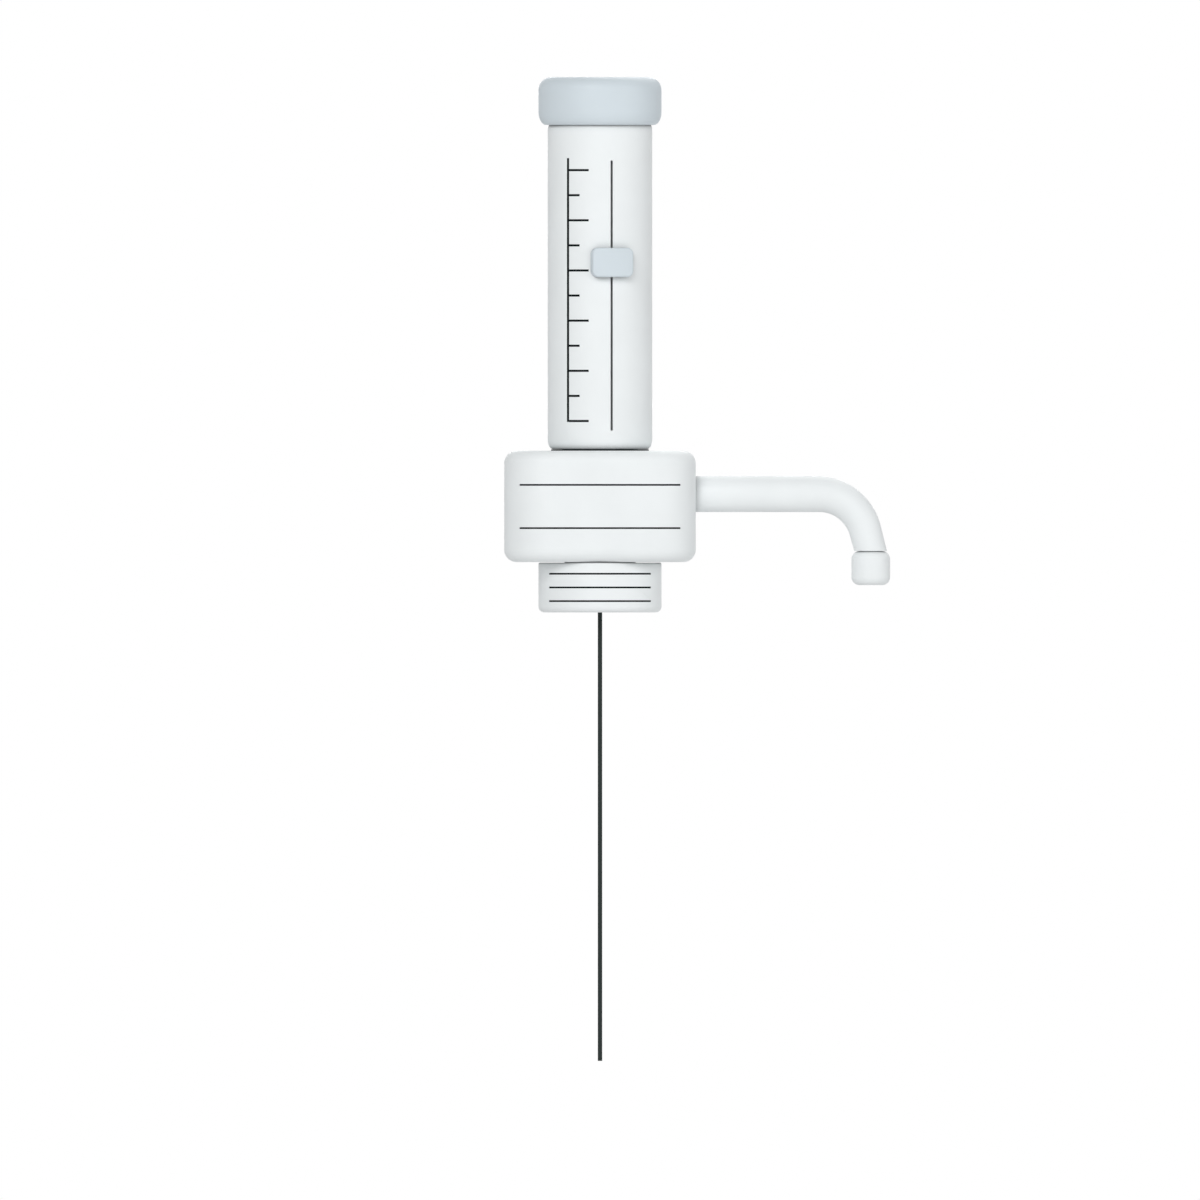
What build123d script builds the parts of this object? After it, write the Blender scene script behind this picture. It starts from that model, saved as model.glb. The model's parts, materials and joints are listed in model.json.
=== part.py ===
"""Bottle top dispenser, 50 ml, for a 45 mm screw-neck laboratory bottle.

Lengths are in millimetres. Z points up and Z = 0 is the plane where the bottle's lip seals against the
gasket inside the collar. The scale and its pointer face -Y and the spout leaves towards +X.
"""

import math
import os

from build123d import *

os.makedirs("parts", exist_ok=True)

# ---------------------------------------------------------------- driving dimensions
# Clearances
RUN_GAP = 0.3  # between pieces that slide or turn past each other
FIT_GAP = 0.05  # round a piece that is pushed or screwed into its place
SEAL_GAP = 0.05  # between the piston seal and the glass bore
REST_GAP = 0.05  # between faces that rest on each other but belong to different moving groups
BALL_GAP = 0.04  # between a valve ball and its cone
BLADE_GAP = 0.25  # on each side of the stop's blade in the sleeve's slot
STOP_GAP = 0.2  # left between the pointer's stop and the stop ring at the end of the stroke
PISTON_GAP = 0.375  # between the piston's body and the glass bore
ROD_GAP = 1.275  # between the piston rod and the glass bore
GLASS_GAP = 0.675  # between the glass cylinder and the guide tube
OVERCUT = 1.0  # how far a cutting shape reaches past the face it cuts
QUARTER_TURN = 90.0  # degrees

# Bottle collar and gasket
THREAD_ROOT_D = 45.6
COLLAR_WALL = 4.9  # from the thread's root to the outside
COLLAR_SKIRT = 17.3  # length below the lip plane
COLLAR_WEB = 2.0
COLLAR_EDGE_R = 2.7
COLLAR_TOP_R = 0.8
COLLAR_LEAD_IN = 1.0
COLLAR_GROOVE_TOP = 0.1  # height of the upper grip groove
COLLAR_GROOVE_PITCH = 6.15
COLLAR_GROOVES = 3
COLLAR_GROOVE_HALF = 22.95  # half width of each groove as seen from the front
GROOVE_WIDTH = 0.8
GROOVE_DEPTH = 0.6
GASKET_T = 1.0
GASKET_HOLE_D = 27.0
SWIVEL_GAP = 0.1  # axial play of the swivelling collar
COLLAR_GAP = 0.25  # between the collar and the valve block
RETAINER_T = 1.9
RETAINER_D = 39.0
RETAINER_NOTCH = 3.0

# Valve block housing
BLOCK_W = 86.2
BLOCK_DEPTH = 62.0
BLOCK_H = 50.15
BLOCK_CORNER_R = 20.0
BLOCK_EDGE_R = 5.6
BLOCK_WALL = 3.0
BLOCK_ROOF = 2.4
BLOCK_FLOOR = 4.0
BLOCK_GROOVE_HALF = 36.2  # half length of the two face grooves
BLOCK_GROOVE_LOW = 15.3  # heights of the face grooves above the block's underside
BLOCK_GROOVE_HIGH = 34.75
PARTING_W = 0.4  # shadow line where the two shells meet
PARTING_DEPTH = 0.25
SCREW_SPACE = 1.75  # between the screw bosses and the clamp ring
SCREW_RISE = 9.5  # lower screws, above the block's underside
SCREW_OVER_ARM = 0.2  # between the upper screw bosses and the core's arm
SCREW_D = 2.5
SCREW_LENGTH = 22.0
SCREW_SEAT_Y = 14.0  # depth at which the screw heads seat, behind the parting plane
SCREW_HEAD_D = 4.5
SCREW_HEAD_T = 1.8
SCREW_KEY = 2.0
SCREW_KEY_DEPTH = 0.9
BOSS_WALL = 1.1

# Valve core
CORE_D = 36.0
SPIGOT_D = 32.0
SPIGOT_TIP_D = 28.0
SHOULDER_T = 3.0
PASSAGE_D = 4.4
ARM_D = 17.6

# Filling valve and dip tube
INLET_D = 16.0
INLET_TOP = 14.0  # height of the inlet fitting's seat face above the lip plane
INLET_HEX = 15.6  # across flats
INLET_HEX_T = 3.5
INLET_PORT_D = 1.6
TUBE_D = 2.0
TUBE_BORE_D = 1.2
TUBE_SOCKET = 9.0
TUBE_END = 219.1  # depth of the tube's end below the lip plane
FILL_BALL_D = 6.0
FILL_CHAMBER_D = 7.2
FILL_LIFT = 1.5
BALL_STOP_SLOT = 1.2

# Discharge valve, spring and spout
CARTRIDGE_D = 10.0
CARTRIDGE_LENGTH = 21.65
OUT_SEAT_DEPTH = 15.65  # valve seat behind the cartridge's outer end
OUT_BALL_D = 5.0
OUT_PORT_D = 3.2
OUT_LIFT = 1.2
SPRING_WIRE_D = 0.4
SPRING_MEAN_D = 3.8
SPRING_TURNS = 6
SEAT_ANGLE = 45.0  # of both valve cones, from their axis
SPOUT_BELOW_TOP = 19.5  # spout axis below the block's top
SPOUT_D = 16.3
SPOUT_BEND_D = 14.6  # outer diameter where the bend ends
SPOUT_END_D = 14.0
SPOUT_BEND_X = 98.1  # where the straight run ends
SPOUT_BEND_R = 22.0
SPOUT_BEND_ANGLE = 75.0
SPOUT_DROP = 25.65  # spout axis down to the nozzle shoulder
SPOUT_FLANGE_D = 18.8
SPOUT_FLANGE_T = 2.4
SPOUT_SEAL_T = 1.0
LINER_D = 6.0
LINER_BORE_D = 4.0
LINER_TURN_R = 12.0  # radius of the liner's last turn, into the nozzle
LINER_GRIP = 2.0  # length of the liner inside the valve cartridge
NOZZLE_D = 9.8
NOZZLE_LENGTH = 12.7
NOZZLE_LIP = 0.4  # how far the liner stands out of the nozzle
SPOUT_CAP_D = 17.4
SPOUT_CAP_H = 15.3
SPOUT_CAP_EDGE_R = 3.6
SPOUT_CAP_FLOOR = 1.4
SPOUT_CAP_SEAL_T = 0.6

# Air vent
VENT_RISE = 25.0  # vent axis above the block's underside
VENT_FLANGE_D = 10.0
VENT_FLANGE_T = 1.2
VENT_STEM_D = 6.8
VENT_BORE_D = 3.0
VENT_SOCKET = 5.0
VENT_DROP_Y = 11.0  # distance of the vent's downward passage from the dispenser's axis
VENT_HOLE_D = 1.0
VENT_RING_D = 2.6
VENT_FILTER_D = 5.2
VENT_FILTER_T = 2.0

# Measuring cylinder and its guide tube
BORE_D = 23.75
FULL_STROKE = 112.9
GLASS_WALL = 2.75
GLASS_OVER = 15.0  # glass length beyond the full stroke
GLASS_LIP_R = 0.9
CYLINDER_SEAL_T = 1.2
CYLINDER_SEAL_LIP = 5.0
GUIDE_WALL = 1.7
CLAMP_WIDTH = 6.0  # clamp ring at the guide tube's foot
CLAMP_T = 2.9
STOP_RING_H = 4.0
STOP_RING_CAP = 1.2
STOP_RING_CHAMFER = 0.6
BUMPER_T = 1.2
BUMPER_PROUD = 0.6
BUMPER_WIDTH = 5.0
BUMPER_EDGE_R = 0.3

# Sleeve with the scale, and the cap
STOP_SPACE = 3.55  # between the guide tube and the sleeve, where the pointer's stop travels
SLEEVE_WALL = 3.0
SLEEVE_HEADROOM = 9.2  # from the stop ring up to the sleeve's web
SLEEVE_TOP_R = 4.6
SLEEVE_WEB = 4.0
SLEEVE_FOOT_H = 4.6  # height of the rounding at the sleeve's foot
SLEEVE_FOOT_LAND = 0.5
SLOT_W = 1.1
FOOT_RING_H = 6.0
FOOT_RING_LEAD_IN = 0.8
CAP_RIM = 4.15  # how far the cap stands out beyond the sleeve
CAP_H = 21.6
CAP_LAP = 2.3  # how far the cap comes down over the sleeve's top
CAP_TOP_R = 5.9
CAP_FOOT_H = 5.9
CAP_FOOT_LAND = 0.3
CAP_ROOF = 3.0
CAP_MOUTH_GAP = 0.35
CAP_CLIP_D = 36.0
CAP_CLIP_WALL = 1.6
CROWN_H = 8.0
CROWN_WALL = 2.2

# Piston
ROD_WALL = 2.6
ROD_PLUG = 11.0
PISTON_H = 10.0
PISTON_CHAMFER = 0.8
PISTON_STEM = 10.0
PISTON_FLOOR_GAP = 0.4
SEAL_GROOVE_DEPTH = 1.7
SEAL_H = 4.4
SEAL_LAND = 2.6  # height of the seal groove above the piston's face
SEAL_LIP = 1.2
SEAL_WAIST = 0.2  # the seal's middle stands this far inside the piston's skirt
PISTON_SCREW_D = 6.0
PISTON_SCREW_HEAD_D = 11.0
PISTON_SCREW_HEAD_T = 3.6
PISTON_SCREW_KEY = 5.0
PISTON_SCREW_KEY_DEPTH = 2.5
PISTON_SCREW_END_GAP = 1.0  # left below the screw in the rod's plug
PISTON_WASHER_D = 18.0
PISTON_WASHER_T = 1.2

# Scale and pointer
SCALE_FOOT = 13.35  # mark for the full volume, above the valve block
POINTER_DOWN = 41.55  # the set stroke: how far the pointer stands below the zero mark
POINTER_AZIMUTH = 13.0  # degrees from the front, towards the spout
POINTER_W = 18.8
POINTER_H = 13.2
POINTER_T = 4.15  # at its middle
POINTER_CORNER_R = 2.8
POINTER_EDGE_R = 0.9
STOP_H = 8.0
STOP_W = 7.0
STOP_T = 1.8
BLADE_ENTRY = 1.9  # how far the stop's blade reaches into the pointer
POINTER_PIN_D = 1.2
POINTER_PIN_L = 14.0
LEAF_T = 0.3
LEAF_W = 4.0
LEAF_H = 9.0
LEAF_BOW = 1.1
LEAF_OFFSET = 5.5

# ---------------------------------------------------------------- places worked out from them
retainer_z = GASKET_T + SWIVEL_GAP
collar_web_z = retainer_z + RETAINER_T + SWIVEL_GAP
collar_top_z = collar_web_z + COLLAR_WEB
block_z = collar_top_z + COLLAR_GAP
block_top_z = block_z + BLOCK_H
core_bottom_z = block_z + BLOCK_FLOOR
core_top_z = block_top_z - BLOCK_ROOF - FIT_GAP - CLAMP_T
spout_z = block_top_z - SPOUT_BELOW_TOP
vent_z = block_z + VENT_RISE
collar_r = THREAD_ROOT_D / 2 + COLLAR_WALL

bore_r = BORE_D / 2
glass_r = bore_r + GLASS_WALL
glass_z = core_top_z + CYLINDER_SEAL_T
guide_bore_r = glass_r + GLASS_GAP
guide_r = guide_bore_r + GUIDE_WALL
clamp_r = guide_r + CLAMP_WIDTH
sleeve_bore_r = guide_r + STOP_SPACE
sleeve_r = sleeve_bore_r + SLEEVE_WALL
piston_r = bore_r - PISTON_GAP
rod_r = bore_r - ROD_GAP
full_z = block_top_z + SCALE_FOOT
zero_z = full_z + FULL_STROKE
pointer_z = zero_z - POINTER_DOWN
stop_ring_z = zero_z + STOP_H / 2 + STOP_GAP
guide_top_z = stop_ring_z + STOP_RING_H
stop_r = sleeve_bore_r - RUN_GAP - STOP_T  # inner radius of the pointer's stop
sleeve_z = block_top_z + BUMPER_PROUD + REST_GAP
sleeve_top_z = guide_top_z + STOP_RING_CAP + SLEEVE_HEADROOM + SLEEVE_WEB
cap_z = sleeve_top_z - CAP_LAP
bumper_r = guide_r + BUMPER_WIDTH

bend_drop = SPOUT_BEND_R * (1 - math.cos(math.radians(SPOUT_BEND_ANGLE)))
bend_end_x = SPOUT_BEND_X + SPOUT_BEND_R * math.sin(math.radians(SPOUT_BEND_ANGLE))
nozzle_z = spout_z - SPOUT_DROP
end_run = (SPOUT_DROP - bend_drop) / math.sin(math.radians(SPOUT_BEND_ANGLE))
nozzle_x = bend_end_x + end_run * math.cos(math.radians(SPOUT_BEND_ANGLE))
nozzle_tip_z = nozzle_z - NOZZLE_LENGTH
spout_x = BLOCK_W / 2 - BLOCK_WALL - FIT_GAP - SPOUT_FLANGE_T  # back of the spout's flange
arm_end_x = spout_x - SPOUT_SEAL_T
liner_x = arm_end_x - LINER_GRIP
cartridge_x = arm_end_x - CARTRIDGE_LENGTH
out_seat_x = arm_end_x - OUT_SEAT_DEPTH

well_r = SCREW_HEAD_D / 2 + RUN_GAP
boss_r = well_r + BOSS_WALL
screw_x = clamp_r + SCREW_SPACE + boss_r
screw_low_z = block_z + SCREW_RISE
screw_high_z = spout_z + ARM_D / 2 + SCREW_OVER_ARM + boss_r

UP = (Align.CENTER, Align.CENTER, Align.MIN)
SCREWS = [(x, z) for x in (-screw_x, screw_x) for z in (screw_low_z, screw_high_z)]


def ball_rest(seat_mouth_r, ball_r):
    """Distance from the face of a conical seat to the centre of the ball that rests in it."""
    angle = math.radians(SEAT_ANGLE)
    return (ball_r + BALL_GAP) / math.sin(angle) - seat_mouth_r / math.tan(angle)


def radial_plane(azimuth, z=0.0):
    """Upright plane through the Z axis; its x runs outwards, azimuth degrees round from the front."""
    turn = math.radians(azimuth - QUARTER_TURN)
    outwards = Vector(math.cos(turn), math.sin(turn), 0)
    return Plane((0, 0, z), x_dir=outwards, z_dir=outwards.cross(Vector(0, 0, 1)))


def write(part, name):
    """Labels one finished piece and writes its STEP file."""
    part.label = name
    export_step(part, f"parts/{name}.step")


# ================================================================ collar: what stays on the bottle
with BuildPart() as collar:
    with Locations((0, 0, -COLLAR_SKIRT)):
        Cylinder(collar_r, COLLAR_SKIRT + collar_top_z, align=UP)
        Cylinder(THREAD_ROOT_D / 2, COLLAR_SKIRT + GASKET_T, align=UP, mode=Mode.SUBTRACT)
    with Locations((0, 0, GASKET_T)):
        Cylinder(RETAINER_D / 2 + RUN_GAP, collar_web_z - GASKET_T, align=UP, mode=Mode.SUBTRACT)
        Cylinder(SPIGOT_D / 2 + RUN_GAP, collar_top_z - GASKET_T, align=UP, mode=Mode.SUBTRACT)
    circles = collar.edges().filter_by(GeomType.CIRCLE).group_by(Axis.Z)
    fillet(circles[-1].sort_by(SortBy.RADIUS)[-1], COLLAR_TOP_R)
    rim = circles[0].sort_by(SortBy.RADIUS)
    fillet(rim[-1], COLLAR_EDGE_R)
    chamfer(rim[0], COLLAR_LEAD_IN)
    # grip grooves, front and back
    groove_angle = math.degrees(math.asin(COLLAR_GROOVE_HALF / collar_r))
    for side in (0, 180):
        with BuildSketch(radial_plane(side - groove_angle)):
            for i in range(COLLAR_GROOVES):
                with Locations((collar_r, COLLAR_GROOVE_TOP - i * COLLAR_GROOVE_PITCH)):
                    Rectangle(2 * GROOVE_DEPTH, GROOVE_WIDTH)
        revolve(axis=Axis.Z, revolution_arc=2 * groove_angle, mode=Mode.SUBTRACT)
write(collar.part, "collar")

with BuildPart() as bottle_gasket:
    Cylinder(THREAD_ROOT_D / 2 - RUN_GAP, GASKET_T, align=UP)
    Cylinder(GASKET_HOLE_D / 2, GASKET_T, align=UP, mode=Mode.SUBTRACT)
write(bottle_gasket.part, "bottle_gasket")

# ================================================================ valve core and what is screwed into it
with BuildPart() as valve_core:
    with Locations((0, 0, retainer_z)):
        Cylinder(SPIGOT_TIP_D / 2, RETAINER_T, align=UP)
    with Locations((0, 0, retainer_z + RETAINER_T)):
        Cylinder(SPIGOT_D / 2, core_bottom_z - retainer_z - RETAINER_T, align=UP)
    with Locations((0, 0, core_bottom_z)):
        Cylinder(CORE_D / 2, core_top_z - core_bottom_z, align=UP)
    with Locations((0, 0, core_top_z - SHOULDER_T)):
        Cylinder(clamp_r, SHOULDER_T, align=UP)
    # arm that carries the discharge valve
    with BuildSketch(Plane.YZ):
        with Locations((0, spout_z)):
            Circle(ARM_D / 2)
    extrude(amount=arm_end_x)
    # inlet bore, ball chamber and passage up to the measuring cylinder
    with Locations((0, 0, retainer_z)):
        Cylinder(INLET_D / 2 + FIT_GAP, INLET_TOP - retainer_z, align=UP, mode=Mode.SUBTRACT)
    fill_ball_z = INLET_TOP + ball_rest(FILL_BALL_D / 2, FILL_BALL_D / 2)
    stop_depth = math.sqrt((FILL_BALL_D / 2) ** 2 - (PASSAGE_D / 2) ** 2)
    chamber_top_z = fill_ball_z + FILL_LIFT + stop_depth + FIT_GAP
    with Locations((0, 0, INLET_TOP)):
        Cylinder(FILL_CHAMBER_D / 2, chamber_top_z - INLET_TOP, align=UP, mode=Mode.SUBTRACT)
        Cylinder(PASSAGE_D / 2, core_top_z - INLET_TOP, align=UP, mode=Mode.SUBTRACT)
    # crossed slots keep the liquid's way open when the ball is lifted against its stop
    with Locations((0, 0, chamber_top_z)):
        Box(FILL_CHAMBER_D, BALL_STOP_SLOT, FILL_BALL_D / 2, align=UP, mode=Mode.SUBTRACT)
        Box(BALL_STOP_SLOT, FILL_CHAMBER_D, FILL_BALL_D / 2, align=UP, mode=Mode.SUBTRACT)
    # discharge passage and the seat for the valve cartridge
    with BuildSketch(Plane.YZ):
        with Locations((0, spout_z)):
            Circle(PASSAGE_D / 2)
    extrude(amount=cartridge_x, mode=Mode.SUBTRACT)
    with BuildSketch(Plane.YZ.offset(cartridge_x)):
        with Locations((0, spout_z)):
            Circle(CARTRIDGE_D / 2 + FIT_GAP)
    extrude(amount=arm_end_x - cartridge_x, mode=Mode.SUBTRACT)
    # air way: socket for the vent plug at the back, then down into the bottle
    with BuildSketch(Plane.XZ.offset(-CORE_D / 2)):
        with Locations((0, vent_z)):
            Circle(VENT_STEM_D / 2 + FIT_GAP)
    extrude(amount=VENT_SOCKET, mode=Mode.SUBTRACT)
    with BuildSketch(Plane.XZ.offset(-CORE_D / 2)):
        with Locations((0, vent_z)):
            Circle(VENT_BORE_D / 2)
    extrude(amount=CORE_D / 2 - VENT_DROP_Y, mode=Mode.SUBTRACT)
    with Locations((0, VENT_DROP_Y, retainer_z)):
        Cylinder(VENT_BORE_D / 2, vent_z - retainer_z, align=UP, mode=Mode.SUBTRACT)
write(valve_core.part, "valve_core")

with BuildPart() as retainer_ring:
    with Locations((0, 0, retainer_z)):
        Cylinder(RETAINER_D / 2, RETAINER_T, align=UP)
        Cylinder(SPIGOT_TIP_D / 2 + FIT_GAP, RETAINER_T, align=UP, mode=Mode.SUBTRACT)
        with PolarLocations(RETAINER_D / 2, 4):
            Box(RETAINER_NOTCH, RETAINER_NOTCH, RETAINER_T, align=UP, mode=Mode.SUBTRACT)
write(retainer_ring.part, "retainer_ring")

with BuildPart() as inlet_fitting:
    with Locations((0, 0, retainer_z)):
        Cylinder(INLET_D / 2, INLET_TOP - retainer_z, align=UP)
    with BuildSketch(Plane.XY.offset(retainer_z)):
        RegularPolygon(INLET_HEX / 2, 6, major_radius=False)
    extrude(amount=-INLET_HEX_T)
    socket_z = retainer_z - INLET_HEX_T
    with Locations((0, 0, socket_z)):
        Cylinder(TUBE_D / 2 + FIT_GAP, TUBE_SOCKET, align=UP, mode=Mode.SUBTRACT)
        Cylinder(INLET_PORT_D / 2, INLET_TOP - socket_z, align=UP, mode=Mode.SUBTRACT)
    cone_depth = (FILL_BALL_D - INLET_PORT_D) / 2 / math.tan(math.radians(SEAT_ANGLE))
    with Locations((0, 0, INLET_TOP - cone_depth)):
        Cone(INLET_PORT_D / 2, FILL_BALL_D / 2, cone_depth, align=UP, mode=Mode.SUBTRACT)
write(inlet_fitting.part, "inlet_fitting")

with BuildPart() as fill_ball:
    with Locations((0, 0, fill_ball_z)):
        Sphere(FILL_BALL_D / 2)
write(fill_ball.part, "fill_ball")

with BuildPart() as dip_tube:
    tube_top_z = socket_z + TUBE_SOCKET - FIT_GAP
    with Locations((0, 0, -TUBE_END)):
        Cylinder(TUBE_D / 2, TUBE_END + tube_top_z, align=UP)
        Cylinder(TUBE_BORE_D / 2, TUBE_END + tube_top_z, align=UP, mode=Mode.SUBTRACT)
write(dip_tube.part, "dip_tube")

# ---------------------------------------------------------------- discharge valve
out_ball_x = out_seat_x + ball_rest(OUT_BALL_D / 2, OUT_BALL_D / 2)
with BuildPart() as discharge_cartridge:
    with BuildSketch(Plane.YZ.offset(cartridge_x)):
        with Locations((0, spout_z)):
            Circle(CARTRIDGE_D / 2)
            Circle(OUT_PORT_D / 2, mode=Mode.SUBTRACT)
    extrude(amount=arm_end_x - cartridge_x)
    with BuildSketch(Plane.YZ.offset(out_seat_x)):
        with Locations((0, spout_z)):
            Circle(LINER_D / 2 + FIT_GAP)
    extrude(amount=arm_end_x - out_seat_x, mode=Mode.SUBTRACT)
    out_cone_depth = (OUT_BALL_D - OUT_PORT_D) / 2 / math.tan(math.radians(SEAT_ANGLE))
    with BuildSketch(Plane.YZ.offset(out_seat_x - out_cone_depth)) as cone_small:
        with Locations((0, spout_z)):
            Circle(OUT_PORT_D / 2)
    with BuildSketch(Plane.YZ.offset(out_seat_x)) as cone_large:
        with Locations((0, spout_z)):
            Circle(OUT_BALL_D / 2)
    loft(sections=[cone_small.sketch, cone_large.sketch], mode=Mode.SUBTRACT)
write(discharge_cartridge.part, "discharge_cartridge")

with BuildPart() as discharge_ball:
    with Locations((out_ball_x, 0, spout_z)):
        Sphere(OUT_BALL_D / 2)
write(discharge_ball.part, "discharge_ball")

with BuildPart() as discharge_spring:
    reach = math.sqrt(((OUT_BALL_D + SPRING_WIRE_D) / 2 + REST_GAP) ** 2 - (SPRING_MEAN_D / 2) ** 2)
    spring_x = out_ball_x + reach
    spring_end_x = liner_x - SPRING_WIRE_D / 2 - REST_GAP
    coil_length = spring_end_x - spring_x
    with BuildLine() as coil:
        Helix(coil_length / SPRING_TURNS, coil_length, SPRING_MEAN_D / 2, (spring_x, 0, spout_z), (1, 0, 0))
    with BuildSketch(Plane(coil.line @ 0, z_dir=coil.line % 0)):
        Circle(SPRING_WIRE_D / 2)
    sweep(path=coil.line, is_frenet=True)
write(discharge_spring.part, "discharge_spring")

# ---------------------------------------------------------------- spout
with BuildPart() as spout:
    # straight run with the flange that the housing holds
    with BuildSketch(Plane.YZ.offset(spout_x)):
        with Locations((0, spout_z)):
            Circle(SPOUT_D / 2)
    extrude(amount=SPOUT_BEND_X - spout_x)
    with BuildSketch(Plane.YZ.offset(spout_x)):
        with Locations((0, spout_z)):
            Circle(SPOUT_FLANGE_D / 2)
    extrude(amount=SPOUT_FLANGE_T)
    # tapering bend
    with BuildLine(Plane.XZ) as bend:
        JernArc((SPOUT_BEND_X, spout_z), (1, 0), SPOUT_BEND_R, -SPOUT_BEND_ANGLE)
    with BuildSketch(Plane(bend.line @ 0, z_dir=bend.line % 0)) as bend_start:
        Circle(SPOUT_D / 2)
    with BuildSketch(Plane(bend.line @ 1, z_dir=bend.line % 1)) as bend_end:
        Circle(SPOUT_BEND_D / 2)
    sweep(sections=[bend_start.sketch, bend_end.sketch], path=bend.line, multisection=True)
    # end run, cut level where the nozzle starts
    with BuildSketch(Plane((nozzle_x, 0, nozzle_z), z_dir=bend.line % 1).offset(SPOUT_END_D / 2)) as run_end:
        Circle(SPOUT_END_D / 2)
    loft(sections=[bend_end.sketch, run_end.sketch])
    with Locations((nozzle_x, 0, nozzle_z - SPOUT_D)):
        Box(2 * SPOUT_D, 2 * SPOUT_D, SPOUT_D, align=UP, mode=Mode.SUBTRACT)
    with Locations((nozzle_x, 0, nozzle_tip_z)):
        Cylinder(NOZZLE_D / 2, NOZZLE_LENGTH, align=UP)
    # bore for the liner
    with BuildLine(Plane.XZ) as liner_path:
        run_in = Line((liner_x, spout_z), (SPOUT_BEND_X, spout_z))
        main_turn = JernArc(run_in @ 1, run_in % 1, SPOUT_BEND_R, -SPOUT_BEND_ANGLE)
        last_turn = QUARTER_TURN - SPOUT_BEND_ANGLE
        turn_in = LINER_TURN_R * math.tan(math.radians(last_turn / 2))
        run_down = PolarLine(main_turn @ 1, end_run - turn_in, direction=main_turn % 1)
        nozzle_turn = JernArc(run_down @ 1, run_down % 1, LINER_TURN_R, -last_turn)
        Line(nozzle_turn @ 1, (nozzle_x, nozzle_tip_z - NOZZLE_LIP))
    with BuildSketch(Plane.YZ.offset(liner_x)) as liner_bore:
        with Locations((0, spout_z)):
            Circle(LINER_D / 2 + FIT_GAP)
    sweep(sections=liner_bore.sketch, path=liner_path.line, mode=Mode.SUBTRACT)
write(spout.part, "spout")

with BuildPart() as spout_liner:
    with BuildSketch(Plane.YZ.offset(liner_x)):
        with Locations((0, spout_z)):
            Circle(LINER_D / 2)
            Circle(LINER_BORE_D / 2, mode=Mode.SUBTRACT)
    sweep(path=liner_path.line)
write(spout_liner.part, "spout_liner")

with BuildPart() as spout_seal:
    with BuildSketch(Plane.YZ.offset(arm_end_x)):
        with Locations((0, spout_z)):
            Circle(SPOUT_FLANGE_D / 2)
            Circle(LINER_D / 2 + FIT_GAP, mode=Mode.SUBTRACT)
    extrude(amount=SPOUT_SEAL_T)
write(spout_seal.part, "spout_seal")

with BuildPart() as spout_cap:
    cap_bottom_z = nozzle_z - REST_GAP - SPOUT_CAP_H
    with Locations((nozzle_x, 0, cap_bottom_z)):
        Cylinder(SPOUT_CAP_D / 2, SPOUT_CAP_H, align=UP)
    fillet(spout_cap.edges().filter_by(GeomType.CIRCLE), SPOUT_CAP_EDGE_R)
    with Locations((nozzle_x, 0, cap_bottom_z + SPOUT_CAP_FLOOR)):
        Cylinder(NOZZLE_D / 2 + FIT_GAP, SPOUT_CAP_H, align=UP, mode=Mode.SUBTRACT)
write(spout_cap.part, "spout_cap")

with BuildPart() as spout_cap_seal:
    with Locations((nozzle_x, 0, cap_bottom_z + SPOUT_CAP_FLOOR)):
        Cylinder(NOZZLE_D / 2, SPOUT_CAP_SEAL_T, align=UP)
write(spout_cap_seal.part, "spout_cap_seal")

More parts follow.
